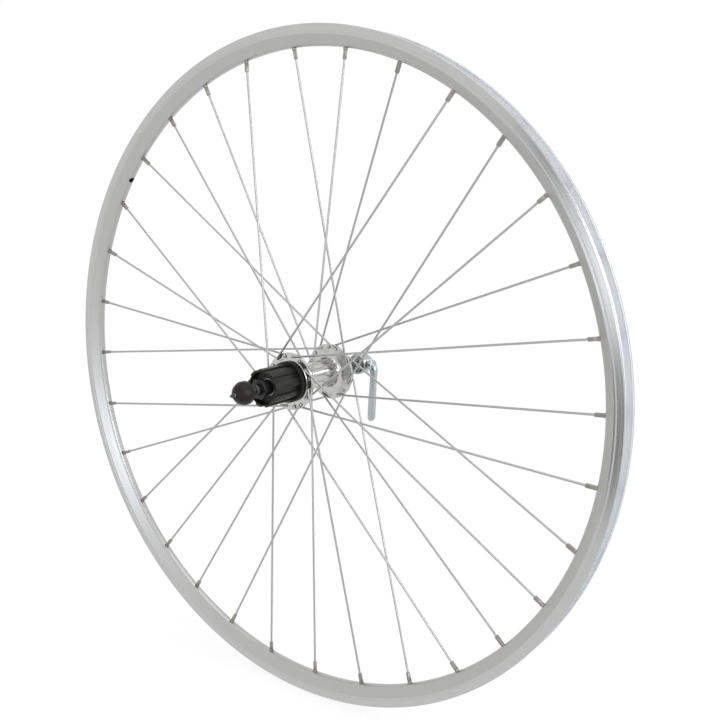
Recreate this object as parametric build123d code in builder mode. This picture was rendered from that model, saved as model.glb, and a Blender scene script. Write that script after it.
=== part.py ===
import os
from math import cos, radians, sin, sqrt

from build123d import *

# Driving dimensions in millimetres, wheel centre at the origin, axle along Y, drive side at -Y
bead_seat_radius = 311.0
rim_half_width = 9.8
rim_wall = 1.6
lip_height = 6.0
lip_thickness = 1.6
track_height = 8.6
well_depth = 3.2
chamber_height = 9.0
bed_half_width = 2.8
bead_hook = 0.5
well_margin = 0.8
spoke_count = 32
spoke_diameter = 2.0
spoke_side = 1.8
spoke_head_width = 3.4
spoke_head_thickness = 1.2
crossings = 3
nipple_width = 3.6
nipple_length = 12.0
nipple_head_width = 5.4
nipple_head_thickness = 2.2
access_hole_diameter = 8.4
valve_hole_radius = 3.25
valve_angle = 143.6
flange_radius = 27.0
flange_thickness = 3.0
hole_edge = 3.0
barrel_radius = 13.0
left_boss_length = 17.0
bearing_outer_radius = 11.0
bearing_width = 6.0
raceway_radius = 7.9
spacer_wall = 1.9
ring_sides = 8
turned_sides = 24
small_sides = 12
axle_radius = 5.0
axle_core_radius = 4.9
axle_bore_radius = 2.85
dropout_width = 130.0
axle_stub = 5.5
locknut_flats = 17.0
locknut_thickness = 5.0
left_spacer_length = 3.5
freehub_radius = 17.5
spline_depth = 1.4
spline_count = 9
freehub_length = 36.3
freehub_inset = 5.5
freehub_collar_radius = 19.3
freehub_collar_width = 3.6
freehub_mouth_radius = 15.2
freehub_mouth_depth = 8.0
skewer_radius = 2.5
skewer_gap = 14.5
skewer_nut_radius = 10.7
skewer_nut_length = 20.0
skewer_nut_rim = 4.0
nut_waist_radius = 8.0
nut_waist_distance = 12.0
skewer_tip = 2.5
skewer_tip_flat = 0.5
nut_tip_wall = 1.2
head_radius = 10.3
head_length = 17.0
head_dome_radius = 8.4
head_dome_height = 4.5
head_recess_radius = 8.6
head_recess_depth = 1.6
cam_shaft_radius = 4.0
cam_throw = 1.25
cam_pin_radius = 2.4
cam_bore_depth = 7.7
eye_wall = 1.4
lever_offset = 16.0
lever_width = 8.6
lever_thickness = 4.4
lever_drop = 57.0
lever_lean = 3.0
spring_wire = 0.8
spring_end_radius = 7.5
spring_turns = 3
steps_per_turn = 5

# Clearances
running_gap = 0.05
cam_gap = 0.35
loose_gap = 0.3
nipple_gap = 0.4
nipple_lift = 0.65
freehub_gap = 0.7
elbow_gap = 0.25
cut_margin = 1.0

# Radii and stations that follow from the sizes above
rim_outer_radius = bead_seat_radius + lip_height
well_radius = bead_seat_radius - well_depth
bed_radius = well_radius - chamber_height
seat_radius = bed_radius + rim_wall
track_low_radius = rim_outer_radius - track_height
lip_half_width = rim_half_width - lip_thickness
chamber_half_width = rim_half_width - 2 * rim_wall
half_dropout = dropout_width / 2
axle_half_length = half_dropout + axle_stub
freehub_end_y = freehub_inset - half_dropout
freehub_inner_y = freehub_end_y + freehub_length
freehub_floor_y = freehub_end_y + freehub_mouth_depth
drive_face_y = freehub_inner_y + freehub_gap
drive_flange_y = drive_face_y + flange_thickness / 2
left_boss_y = half_dropout - locknut_thickness - left_spacer_length
left_face_y = left_boss_y - left_boss_length
left_flange_y = left_face_y - flange_thickness / 2
nut_face_y = -half_dropout - skewer_gap
head_face_y = half_dropout + skewer_gap
cam_y = head_face_y + head_length / 2
hole_circle_radius = flange_radius - hole_edge
hole_side = spoke_side + loose_gap
spoke_step = 360 / spoke_count
cross_angle = 720 * crossings / spoke_count
run_height = flange_thickness / 2 + elbow_gap + spoke_diameter / 2
spoke_offset = hole_circle_radius * sin(radians(cross_angle))
edge_run = sqrt(flange_radius**2 - spoke_offset**2) - sqrt(hole_circle_radius**2 - spoke_offset**2)
edge_slope = edge_run / (seat_radius - hole_circle_radius)
ring_bore_radius = (axle_radius + running_gap) / cos(radians(180 / ring_sides))
spacer_radius = ring_bore_radius + spacer_wall


def around(angle, radius, y):
    """Point at an angle about the axle, measured from +X toward +Z."""
    return Vector(radius * cos(radians(angle)), y, radius * sin(radians(angle)))


def hoop_points(radius, sides, first, y):
    """Corners of a many-sided hoop with flats on the radius, one flat centred on the first angle."""
    corner = radius / cos(radians(180 / sides))
    return [around(first + (k + 0.5) * 360 / sides, corner, y) for k in range(sides)]


def rim_angle(index):
    """Angle of a spoke hole, counted on from the valve hole."""
    return valve_angle - spoke_step * (index + 0.5)


def spoke_run(index, flange_y, outward, turn):
    """Head, elbow and nipple ends of one spoke, and the direction across its bend."""
    hub_angle = rim_angle(index) + turn * cross_angle
    head = around(hub_angle, hole_circle_radius, flange_y - outward * flange_thickness / 2)
    rise = max(0, outward * flange_y * edge_slope)
    elbow = around(hub_angle, hole_circle_radius, flange_y + outward * (run_height + rise))
    end = around(rim_angle(index), seat_radius, 0)
    across = (elbow - head).cross(end - elbow)
    return head, elbow, end, across


def across_axle(y):
    """Plane square to the axle, drawn looking along +Y."""
    return Plane(origin=(0, y, 0), x_dir=(1, 0, 0), z_dir=(0, 1, 0))


# Spokes by index: every fourth hole belongs to the same family of eight
drive_outside = [spoke_run(i, drive_flange_y, -1, 1) for i in range(3, spoke_count, 4)]
drive_inside = [spoke_run(i, drive_flange_y, 1, -1) for i in range(1, spoke_count, 4)]
left_outside = [spoke_run(i, left_flange_y, 1, 1) for i in range(2, spoke_count, 4)]
left_inside = [spoke_run(i, left_flange_y, -1, -1) for i in range(0, spoke_count, 4)]
all_runs = drive_outside + drive_inside + left_outside + left_inside

# Rim: hollow double-wall section carried round a hoop, each hole in the middle of a flat
rim_radial = around(valve_angle, 1, 0)
rim_tangent = around(valve_angle + 90, 1, 0)
with BuildPart() as rim:
    with BuildLine() as hoop:
        Polyline(*hoop_points(bed_radius, 2 * spoke_count, valve_angle, 0), close=True)
    with BuildSketch(Plane((0, 0, 0), rim_radial, rim_tangent)):
        with BuildLine():
            Polyline(
                (bed_radius, 0),
                (bed_radius, bed_half_width),
                (track_low_radius, rim_half_width),
                (rim_outer_radius, rim_half_width),
                (rim_outer_radius, lip_half_width),
                (bead_seat_radius, lip_half_width - bead_hook),
                (well_radius, access_hole_diameter / 2 + well_margin),
                (well_radius, 0),
            )
            mirror(about=Plane.XZ)
        make_face()
        with BuildLine():
            Polyline(
                (seat_radius, 0),
                (seat_radius, bed_half_width),
                (well_radius - rim_wall, chamber_half_width),
                (well_radius - rim_wall, 0),
            )
            mirror(about=Plane.XZ)
        make_face(mode=Mode.SUBTRACT)
    sweep(path=hoop.wire(), transition=Transition.RIGHT)
    # Nipple holes in the spoke bed
    bed_planes = [
        Plane(around(rim_angle(i), bed_radius - cut_margin, 0), (0, 1, 0), around(rim_angle(i), 1, 0))
        for i in range(spoke_count)
    ]
    with BuildSketch(*bed_planes):
        Rectangle(nipple_width + 2 * nipple_gap, nipple_width + 2 * nipple_gap)
    extrude(amount=rim_wall + 2 * cut_margin, mode=Mode.SUBTRACT)
    # Access holes for the nipples in the tyre well
    well_planes = [
        Plane(around(rim_angle(i), well_radius + cut_margin, 0), (0, 1, 0), around(rim_angle(i), -1, 0))
        for i in range(spoke_count)
    ]
    with BuildSketch(*well_planes):
        RegularPolygon(access_hole_diameter / 2, 6)
    extrude(amount=rim_wall + 2 * cut_margin, mode=Mode.SUBTRACT)
    # Valve hole through both walls
    valve_foot = around(valve_angle, bed_radius - cut_margin, 0)
    with BuildSketch(Plane(valve_foot, (0, 1, 0), around(valve_angle, 1, 0))):
        Circle(valve_hole_radius)
    extrude(amount=chamber_height + 2 * cut_margin, mode=Mode.SUBTRACT)

# Spokes: J-bent wire with a flat head, threaded end inside the nipple
with BuildPart() as spokes_drive_outside:
    for head, elbow, end, across in drive_outside:
        with BuildLine():
            Polyline(head, elbow, end)
        with BuildSketch(Plane(head, across, elbow - head)):
            Rectangle(spoke_side, spoke_side)
        sweep(transition=Transition.RIGHT)
        with BuildSketch(Plane(head, across, head - elbow)):
            Rectangle(spoke_head_width, spoke_head_width)
        extrude(amount=spoke_head_thickness)

with BuildPart() as spokes_drive_inside:
    for head, elbow, end, across in drive_inside:
        with BuildLine():
            Polyline(head, elbow, end)
        with BuildSketch(Plane(head, across, elbow - head)):
            Rectangle(spoke_side, spoke_side)
        sweep(transition=Transition.RIGHT)
        with BuildSketch(Plane(head, across, head - elbow)):
            Rectangle(spoke_head_width, spoke_head_width)
        extrude(amount=spoke_head_thickness)

with BuildPart() as spokes_left_outside:
    for head, elbow, end, across in left_outside:
        with BuildLine():
            Polyline(head, elbow, end)
        with BuildSketch(Plane(head, across, elbow - head)):
            Rectangle(spoke_side, spoke_side)
        sweep(transition=Transition.RIGHT)
        with BuildSketch(Plane(head, across, head - elbow)):
            Rectangle(spoke_head_width, spoke_head_width)
        extrude(amount=spoke_head_thickness)

with BuildPart() as spokes_left_inside:
    for head, elbow, end, across in left_inside:
        with BuildLine():
            Polyline(head, elbow, end)
        with BuildSketch(Plane(head, across, elbow - head)):
            Rectangle(spoke_side, spoke_side)
        sweep(transition=Transition.RIGHT)
        with BuildSketch(Plane(head, across, head - elbow)):
            Rectangle(spoke_head_width, spoke_head_width)
        extrude(amount=spoke_head_thickness)

# Nipples: square shank out through the bed, head resting inside the rim
with BuildPart() as nipples:
    nipple_planes = [
        Plane(end + (end - elbow).normalized() * nipple_lift, (0, 1, 0), end - elbow)
        for head, elbow, end, across in all_runs
    ]
    with BuildSketch(*nipple_planes):
        Rectangle(nipple_width, nipple_width)
    extrude(amount=-nipple_length)
    with BuildSketch(*nipple_planes):
        Rectangle(nipple_head_width, nipple_head_width)
    extrude(amount=nipple_head_thickness)

# Hub shell: barrel and two drilled flanges
with BuildPart() as hub_shell:
    with BuildSketch(Plane.XY):
        with BuildLine():
            Polyline(
                (0, drive_face_y),
                (flange_radius, drive_face_y),
                (flange_radius, drive_face_y + flange_thickness),
                (barrel_radius, drive_face_y + flange_thickness),
                (barrel_radius, left_face_y - flange_thickness),
                (flange_radius, left_face_y - flange_thickness),
                (flange_radius, left_face_y),
                (barrel_radius, left_face_y),
                (barrel_radius, left_boss_y),
                (0, left_boss_y),
                close=True,
            )
        make_face()
    revolve(axis=Axis.Y)
    with BuildSketch(across_axle(drive_face_y)):
        RegularPolygon(bearing_outer_radius, turned_sides, major_radius=False)
    extrude(amount=left_boss_y - drive_face_y, mode=Mode.SUBTRACT)
    hole_planes = [Plane(head, across, elbow - head) for head, elbow, end, across in all_runs]
    with BuildSketch(*hole_planes):
        Rectangle(hole_side, hole_side)
    extrude(amount=flange_thickness, mode=Mode.SUBTRACT)

# Sealed bearings: outer rings pressed into shell and freehub, inner rings running inside them
hub_bearing_ys = [drive_face_y, left_boss_y - bearing_width]
freehub_bearing_ys = [freehub_floor_y, freehub_inner_y - bearing_width]

with BuildPart() as hub_bearing_outer_rings:
    with BuildSketch(*[across_axle(y) for y in hub_bearing_ys]):
        RegularPolygon(bearing_outer_radius, ring_sides)
        RegularPolygon(raceway_radius + running_gap, small_sides, major_radius=False, mode=Mode.SUBTRACT)
    extrude(amount=bearing_width)

with BuildPart() as hub_bearing_inner_rings:
    with BuildSketch(*[across_axle(y) for y in hub_bearing_ys]):
        RegularPolygon(raceway_radius, small_sides)
        RegularPolygon(ring_bore_radius, ring_sides, mode=Mode.SUBTRACT)
    extrude(amount=bearing_width)

with BuildPart() as freehub_bearing_outer_rings:
    with BuildSketch(*[across_axle(y) for y in freehub_bearing_ys]):
        RegularPolygon(bearing_outer_radius, ring_sides)
        RegularPolygon(raceway_radius + running_gap, small_sides, major_radius=False, mode=Mode.SUBTRACT)
    extrude(amount=bearing_width)

with BuildPart() as freehub_bearing_inner_rings:
    with BuildSketch(*[across_axle(y) for y in freehub_bearing_ys]):
        RegularPolygon(raceway_radius, small_sides)
        RegularPolygon(ring_bore_radius, ring_sides, mode=Mode.SUBTRACT)
    extrude(amount=bearing_width)

# Hollow axle: plain round ends for the frame, many-sided where the rings and nuts hide it
with BuildPart() as axle:
    with BuildSketch(across_axle(-half_dropout)):
        RegularPolygon(axle_core_radius, small_sides)
    extrude(amount=dropout_width)
    with BuildSketch(across_axle(-axle_half_length), across_axle(half_dropout)):
        Circle(axle_radius)
    extrude(amount=axle_stub)
    with BuildSketch(across_axle(-axle_half_length)):
        RegularPolygon(axle_bore_radius, small_sides, major_radius=False)
    extrude(amount=2 * axle_half_length, mode=Mode.SUBTRACT)

# Spacer tubes between the inner rings
with BuildPart() as axle_spacers:
    spacer_spans = [
        (freehub_floor_y + bearing_width, freehub_inner_y - bearing_width),
        (freehub_inner_y, drive_face_y),
        (drive_face_y + bearing_width, left_boss_y - bearing_width),
    ]
    for start, stop in spacer_spans:
        with BuildSketch(across_axle(start)):
            RegularPolygon(spacer_radius, ring_sides)
            RegularPolygon(ring_bore_radius, ring_sides, mode=Mode.SUBTRACT)
        extrude(amount=stop - start)

# End spacers and hexagon locknuts that meet the frame
with BuildPart() as end_spacer_drive:
    with BuildSketch(across_axle(locknut_thickness - half_dropout)):
        RegularPolygon(spacer_radius, ring_sides)
        RegularPolygon(ring_bore_radius, ring_sides, mode=Mode.SUBTRACT)
    extrude(amount=freehub_floor_y + half_dropout - locknut_thickness)

with BuildPart() as end_spacer_left:
    with BuildSketch(across_axle(left_boss_y)):
        RegularPolygon(spacer_radius, ring_sides)
        RegularPolygon(ring_bore_radius, ring_sides, mode=Mode.SUBTRACT)
    extrude(amount=left_spacer_length)

with BuildPart() as locknuts:
    with BuildSketch(across_axle(-half_dropout), across_axle(half_dropout - locknut_thickness)):
        RegularPolygon(locknut_flats / 2, 6, major_radius=False)
        RegularPolygon(axle_radius + running_gap, small_sides, major_radius=False, mode=Mode.SUBTRACT)
    extrude(amount=locknut_thickness)

# Freehub body: nine splines, a collar toward the hub, an open threaded mouth
# Each spline's corners are a share of the pitch and of the spline's depth
spline_pitch = 360 / spline_count
spline_corners = ((0.05, 1), (0.33, 1), (0.61, 1), (0.65, 0), (0.99, 0))
spline_root = freehub_radius - spline_depth
with BuildPart() as freehub_body:
    with BuildSketch(across_axle(freehub_end_y)):
        with BuildLine():
            outline = []
            for k in range(spline_count):
                for share, height in spline_corners:
                    angle = radians((k + share) * spline_pitch)
                    radius = spline_root + height * spline_depth
                    outline.append((radius * cos(angle), radius * sin(angle)))
            Polyline(*outline, close=True)
        make_face()
    extrude(amount=freehub_length)
    with BuildSketch(across_axle(freehub_inner_y - freehub_collar_width)):
        RegularPolygon(freehub_collar_radius, turned_sides)
    extrude(amount=freehub_collar_width)
    with BuildSketch(across_axle(freehub_end_y)):
        RegularPolygon(freehub_mouth_radius, turned_sides)
    extrude(amount=freehub_mouth_depth, mode=Mode.SUBTRACT)
    with BuildSketch(across_axle(freehub_end_y)):
        RegularPolygon(bearing_outer_radius, turned_sides, major_radius=False)
    extrude(amount=freehub_length, mode=Mode.SUBTRACT)

# Skewer rod with the eye that the cam pulls
slot_half_y = cam_pin_radius + cam_gap
slot_half_z = cam_pin_radius + cam_throw + cam_gap
eye_half_y = slot_half_y + eye_wall
eye_half_z = slot_half_z + eye_wall
eye_half_x = skewer_radius
eye_y = cam_y + cam_throw
nut_end_y = nut_face_y - skewer_nut_length
with BuildPart() as skewer_rod:
    with BuildSketch(across_axle(nut_end_y - skewer_tip)):
        RegularPolygon(skewer_radius, small_sides)
    extrude(amount=eye_y - eye_half_y - nut_end_y + skewer_tip)
    rod_end = skewer_rod.faces().sort_by(Axis.Y)[0]
    chamfer(
        rod_end.edges(),
        length=skewer_radius * cos(radians(180 / small_sides)) - skewer_tip_flat,
        length2=skewer_tip,
        reference=rod_end,
    )
    with BuildSketch(Plane((-eye_half_x, eye_y, 0), (0, 1, 0), (1, 0, 0))):
        Rectangle(2 * eye_half_y, 2 * eye_half_z)
        Rectangle(2 * slot_half_y, 2 * slot_half_z, mode=Mode.SUBTRACT)
    extrude(amount=2 * eye_half_x)

# Bell-shaped nut on the skewer's thread
nut_bore_radius = skewer_radius + running_gap
with BuildPart() as skewer_nut:
    with BuildLine() as bore:
        Polyline(*hoop_points(nut_bore_radius, turned_sides, 0, nut_face_y), close=True)
    with BuildSketch(Plane.XY):
        with BuildLine():
            Polyline(
                (nut_bore_radius, nut_face_y),
                (skewer_nut_radius, nut_face_y),
                (skewer_nut_radius, nut_face_y - skewer_nut_rim),
                (nut_waist_radius, nut_face_y - nut_waist_distance),
                (nut_bore_radius + nut_tip_wall, nut_end_y),
                (nut_bore_radius, nut_end_y),
                close=True,
            )
        make_face()
    sweep(path=bore.wire(), transition=Transition.RIGHT)

# Cam housing on the left
with BuildPart() as skewer_head:
    with BuildSketch(across_axle(head_face_y)):
        RegularPolygon(head_radius, turned_sides)
    extrude(amount=head_length)
    dome_face = skewer_head.faces().sort_by(Axis.Y)[-1]
    chamfer(
        dome_face.edges(),
        length=head_radius - head_dome_radius,
        length2=head_dome_height,
        reference=dome_face,
    )
    with BuildSketch(across_axle(head_face_y)):
        RegularPolygon(head_recess_radius, turned_sides)
    extrude(amount=head_recess_depth, mode=Mode.SUBTRACT)
    with BuildSketch(across_axle(head_face_y)):
        RegularPolygon(skewer_radius + loose_gap, small_sides, major_radius=False)
    extrude(amount=head_length / 2, mode=Mode.SUBTRACT)
    with BuildSketch(across_axle(eye_y - eye_half_y - 2 * cam_throw - loose_gap)):
        Rectangle(2 * (eye_half_x + loose_gap), 2 * (eye_half_z + loose_gap))
    extrude(amount=2 * (eye_half_y + cam_throw + loose_gap), mode=Mode.SUBTRACT)
    with BuildSketch(Plane((0, cam_y, 0), (0, 1, 0), (1, 0, 0))):
        RegularPolygon(cam_shaft_radius + running_gap, turned_sides, major_radius=False)
    extrude(amount=head_radius, mode=Mode.SUBTRACT)
    with BuildSketch(Plane((0, cam_y, 0), (0, 1, 0), (-1, 0, 0))):
        RegularPolygon(cam_pin_radius + running_gap, small_sides, major_radius=False)
    extrude(amount=cam_bore_depth, mode=Mode.SUBTRACT)

# Lever: bent arm, cam shaft and off-centre cam pin in one piece
arm_start = head_radius + loose_gap
arm_outer = lever_offset + lever_width / 2
arm_inner = lever_offset - lever_width / 2
arm_end = lever_drop - lever_width / 2
elbow_end = lever_width / 2 - cam_shaft_radius
with BuildPart() as skewer_lever:
    lean = radians(lever_lean)
    with BuildSketch(Plane((0, cam_y - lever_thickness / 2, 0), (1, 0, 0), (0, cos(lean), -sin(lean)))):
        with BuildLine():
            Line((arm_start, -cam_shaft_radius), (lever_offset, -cam_shaft_radius))
            TangentArc((lever_offset, -cam_shaft_radius), (arm_outer, elbow_end), tangent=(1, 0))
            Line((arm_outer, elbow_end), (arm_outer, arm_end))
            TangentArc((arm_outer, arm_end), (arm_inner, arm_end), tangent=(0, 1))
            Polyline(
                (arm_inner, arm_end),
                (arm_inner, cam_shaft_radius),
                (arm_start, cam_shaft_radius),
                (arm_start, -cam_shaft_radius),
            )
        make_face()
    extrude(amount=lever_thickness)
    journal = eye_half_x + loose_gap
    with BuildSketch(Plane((journal, cam_y, 0), (0, 1, 0), (1, 0, 0))):
        Circle(cam_shaft_radius)
    extrude(amount=arm_start + cut_margin - journal)
    with BuildSketch(Plane((-journal, cam_y, 0), (0, 1, 0), (1, 0, 0))):
        with Locations((cam_throw, 0)):
            RegularPolygon(cam_pin_radius, small_sides)
    extrude(amount=2 * journal)
    with BuildSketch(Plane((-journal, cam_y, 0), (0, 1, 0), (-1, 0, 0))):
        RegularPolygon(cam_pin_radius, small_sides)
    extrude(amount=cam_bore_depth - journal - loose_gap)

# Cone springs, narrow end on the axle
spring_steps = steps_per_turn * spring_turns
spring_small = skewer_radius + loose_gap + spring_wire
spring_start = axle_half_length + spring_wire / 2
spring_stop = half_dropout + skewer_gap - spring_wire / 2
left_spring_stop = spring_stop + head_recess_depth
with BuildPart() as spring_drive:
    with BuildLine():
        Polyline(
            *[
                around(
                    360 * j / steps_per_turn,
                    spring_small + (spring_end_radius - spring_small) * j / spring_steps,
                    -spring_start - (spring_stop - spring_start) * j / spring_steps,
                )
                for j in range(spring_steps + 1)
            ]
        )
    with BuildSketch(Plane(around(0, spring_small, -spring_start), (0, 1, 0), around(90, 1, 0))):
        Rectangle(spring_wire, spring_wire)
    sweep(transition=Transition.RIGHT)

with BuildPart() as spring_left:
    with BuildLine():
        Polyline(
            *[
                around(
                    360 * j / steps_per_turn,
                    spring_small + (spring_end_radius - spring_small) * j / spring_steps,
                    spring_start + (left_spring_stop - spring_start) * j / spring_steps,
                )
                for j in range(spring_steps + 1)
            ]
        )
    with BuildSketch(Plane(around(0, spring_small, spring_start), (0, 1, 0), around(90, 1, 0))):
        Rectangle(spring_wire, spring_wire)
    sweep(transition=Transition.RIGHT)

os.makedirs("parts", exist_ok=True)
rim.part.label = "rim"
export_step(rim.part, "parts/rim.step")
spokes_drive_outside.part.label = "spokes_drive_outside"
export_step(spokes_drive_outside.part, "parts/spokes_drive_outside.step")
spokes_drive_inside.part.label = "spokes_drive_inside"
export_step(spokes_drive_inside.part, "parts/spokes_drive_inside.step")
spokes_left_outside.part.label = "spokes_left_outside"
export_step(spokes_left_outside.part, "parts/spokes_left_outside.step")
spokes_left_inside.part.label = "spokes_left_inside"
export_step(spokes_left_inside.part, "parts/spokes_left_inside.step")
nipples.part.label = "nipples"
export_step(nipples.part, "parts/nipples.step")
hub_shell.part.label = "hub_shell"
export_step(hub_shell.part, "parts/hub_shell.step")
hub_bearing_outer_rings.part.label = "hub_bearing_outer_rings"
export_step(hub_bearing_outer_rings.part, "parts/hub_bearing_outer_rings.step")
hub_bearing_inner_rings.part.label = "hub_bearing_inner_rings"
export_step(hub_bearing_inner_rings.part, "parts/hub_bearing_inner_rings.step")
freehub_bearing_outer_rings.part.label = "freehub_bearing_outer_rings"
export_step(freehub_bearing_outer_rings.part, "parts/freehub_bearing_outer_rings.step")
freehub_bearing_inner_rings.part.label = "freehub_bearing_inner_rings"
export_step(freehub_bearing_inner_rings.part, "parts/freehub_bearing_inner_rings.step")
axle.part.label = "axle"
export_step(axle.part, "parts/axle.step")
axle_spacers.part.label = "axle_spacers"
export_step(axle_spacers.part, "parts/axle_spacers.step")
end_spacer_drive.part.label = "end_spacer_drive"
export_step(end_spacer_drive.part, "parts/end_spacer_drive.step")
end_spacer_left.part.label = "end_spacer_left"
export_step(end_spacer_left.part, "parts/end_spacer_left.step")
locknuts.part.label = "locknuts"
export_step(locknuts.part, "parts/locknuts.step")
freehub_body.part.label = "freehub_body"
export_step(freehub_body.part, "parts/freehub_body.step")
skewer_rod.part.label = "skewer_rod"
export_step(skewer_rod.part, "parts/skewer_rod.step")
skewer_nut.part.label = "skewer_nut"
export_step(skewer_nut.part, "parts/skewer_nut.step")
skewer_head.part.label = "skewer_head"
export_step(skewer_head.part, "parts/skewer_head.step")
skewer_lever.part.label = "skewer_lever"
export_step(skewer_lever.part, "parts/skewer_lever.step")
spring_drive.part.label = "spring_drive"
export_step(spring_drive.part, "parts/spring_drive.step")
spring_left.part.label = "spring_left"
export_step(spring_left.part, "parts/spring_left.step")
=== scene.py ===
"""Dresses a bare rear bicycle wheel in turned, drawn and plated metal under soft studio light."""

import logging
import math
from collections.abc import Callable, Iterator, Sequence
from contextlib import contextmanager
from dataclasses import dataclass, field
from enum import Enum

import bpy
from mathutils import Matrix, Vector


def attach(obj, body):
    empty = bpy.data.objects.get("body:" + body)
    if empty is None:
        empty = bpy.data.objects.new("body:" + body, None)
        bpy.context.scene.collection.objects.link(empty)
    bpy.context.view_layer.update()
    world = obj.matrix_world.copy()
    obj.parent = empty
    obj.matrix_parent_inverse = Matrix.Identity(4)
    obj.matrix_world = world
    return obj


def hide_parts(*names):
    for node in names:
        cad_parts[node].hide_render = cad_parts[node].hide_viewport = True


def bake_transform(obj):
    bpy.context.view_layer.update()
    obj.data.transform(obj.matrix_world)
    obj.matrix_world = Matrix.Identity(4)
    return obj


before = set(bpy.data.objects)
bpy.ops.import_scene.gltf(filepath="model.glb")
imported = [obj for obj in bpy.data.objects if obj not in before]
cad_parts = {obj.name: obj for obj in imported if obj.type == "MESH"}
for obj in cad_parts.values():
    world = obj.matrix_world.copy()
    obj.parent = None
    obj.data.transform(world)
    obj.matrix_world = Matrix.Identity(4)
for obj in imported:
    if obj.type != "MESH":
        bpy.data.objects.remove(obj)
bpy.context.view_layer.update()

LOG = logging.getLogger("wheel")
MM = 0.001
FULL_TURN = 2 * math.pi
QUARTER_TURN = math.pi / 2
ACROSS = Vector((1, 0, 0))
ALONG = Vector((0, 1, 0))
UP = Vector((0, 0, 1))
MERGE_DISTANCE = 1e-6
EDGE_SHARE = 0.45
SIDE_FACE = 0.5
DRILL_THROUGH = 3
GRAIN_DETAIL = 3.0
GRAIN_ROUGHNESS = 0.6
GRAIN_RANGE = (0.3, 0.7)
ARC_CELLS = 3.0
DRAWN_STRETCH = 30
BUMP_STRENGTH = 0.35
MIX_COLOUR, MIX_FLECK, MIX_RESULT = 6, 7, 2
SIGHT_RAYS = ("Is Camera Ray", "Is Glossy Ray", "Is Transmission Ray")

Outline = list[tuple[float, float]]
Colour = tuple[float, float, float]
Place = tuple[float, float, float]
Run = tuple[Vector, Vector, Vector]


class Part(Enum):
    """The bodies that move as one."""

    AXLE_SET = "axle_set"
    WHEEL = "wheel"
    FREEHUB = "freehub"
    HEAD = "skewer_head"
    LEVER = "skewer_lever"
    ROD = "skewer_rod"
    NUT = "skewer_nut"


class Grain(Enum):
    """How the fine marks of a metal run."""

    ROUND = "round the axle"
    ALONG = "along the axle"
    EVEN = "the same every way"


def around(angle: float, radius: float, y: float) -> Vector:
    """Gives the point at an angle in degrees from +X toward +Z, a radius and a place along the axle."""
    return Vector((radius * math.cos(math.radians(angle)), y, radius * math.sin(math.radians(angle))))


def deselect() -> None:
    """Leaves edit mode and drops every selection."""
    if bpy.context.mode != "OBJECT":
        bpy.ops.object.mode_set(mode="OBJECT")
    bpy.ops.object.select_all(action="DESELECT")


def take(obj: bpy.types.Object) -> None:
    """Makes one object the only selected and active one.

    Args:
        obj: The object to work on.
    """
    deselect()
    obj.select_set(True)
    bpy.context.view_layer.objects.active = obj


@contextmanager
def editing(obj: bpy.types.Object, elements: str = "VERT") -> Iterator[None]:
    """Opens an object in edit mode with everything selected, and closes it again.

    Args:
        obj: The object to edit.
        elements: The kind of element that selection works on.

    Returns:
        A context in which edit-mode operators act on the object.
    """
    take(obj)
    bpy.ops.object.mode_set(mode="EDIT")
    bpy.ops.mesh.select_mode(type=elements)
    bpy.ops.mesh.select_all(action="SELECT")
    yield
    bpy.ops.object.mode_set(mode="OBJECT")


def extrude(step: Sequence[float]) -> None:
    """Extrudes what is selected in edit mode by a step."""
    bpy.ops.mesh.extrude_region_move(TRANSFORM_OT_translate={"value": step})


def merge() -> None:
    """Selects everything in edit mode and merges the points that fall together."""
    bpy.ops.mesh.select_all(action="SELECT")
    bpy.ops.mesh.remove_doubles(threshold=MERGE_DISTANCE)


def face_out() -> None:
    """Selects everything in edit mode and turns its faces outward."""
    bpy.ops.mesh.select_all(action="SELECT")
    bpy.ops.mesh.normals_make_consistent(inside=False)


def named(obj: bpy.types.Object, name: str) -> bpy.types.Object:
    """Names an object and its mesh, and puts its place into the mesh.

    Args:
        obj: The object.
        name: The new name.

    Returns:
        The same object.
    """
    obj.name = name
    obj.data.name = name
    take(obj)
    bpy.ops.object.transform_apply(location=True, rotation=True, scale=True)
    return obj


def rounded(corners: Outline, radius: float, steps: int = 4, closed: bool = True) -> Outline:
    """Rounds the corners of an outline with arcs.

    Args:
        corners: The sharp corners in order.
        radius: Arc radius in metres, shortened where an edge is too short for it.
        steps: Stretches in each arc.
        closed: Whether the last corner joins the first.

    Returns:
        The outline with an arc in place of each corner.
    """
    points: Outline = []
    last = len(corners) - 1
    for index, corner in enumerate(corners):
        if not closed and index in (0, last):
            points.append(corner)
            continue
        here = Vector(corner)
        before = Vector(corners[index - 1]) - here
        after = Vector(corners[(index + 1) % len(corners)]) - here
        half = before.angle(after) / 2
        reach = min(radius / math.tan(half), EDGE_SHARE * before.length, EDGE_SHARE * after.length)
        start = here + before.normalized() * reach
        stop = here + after.normalized() * reach
        for step in range(steps + 1):
            share = step / steps
            point = start * (1 - share) ** 2 + here * 2 * share * (1 - share) + stop * share**2
            points.append((point.x, point.y))
    return points


def turned(name: str, outline: Outline, steps: int, closed: bool = True) -> bpy.types.Object:
    """Draws an outline point by point and spins it about the axle.

    Args:
        name: Name of the new piece.
        outline: Points as (radius, place along the axle) in metres.
        steps: Stretches round the full turn.
        closed: Whether the outline joins its own start.

    Returns:
        The turned piece.
    """
    deselect()
    bpy.ops.mesh.primitive_plane_add(size=MM, location=(*outline[0], 0))
    piece = named(bpy.context.object, name)
    with editing(piece):
        bpy.ops.mesh.merge(type="CENTER")
        path = outline + outline[:1] if closed else outline
        for before, after in zip(path, path[1:]):
            extrude((after[0] - before[0], after[1] - before[1], 0))
        merge()
        bpy.ops.mesh.spin(steps=steps, angle=FULL_TURN, center=(0, 0, 0), axis=ALONG)
        merge()
        face_out()
    return piece


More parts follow.
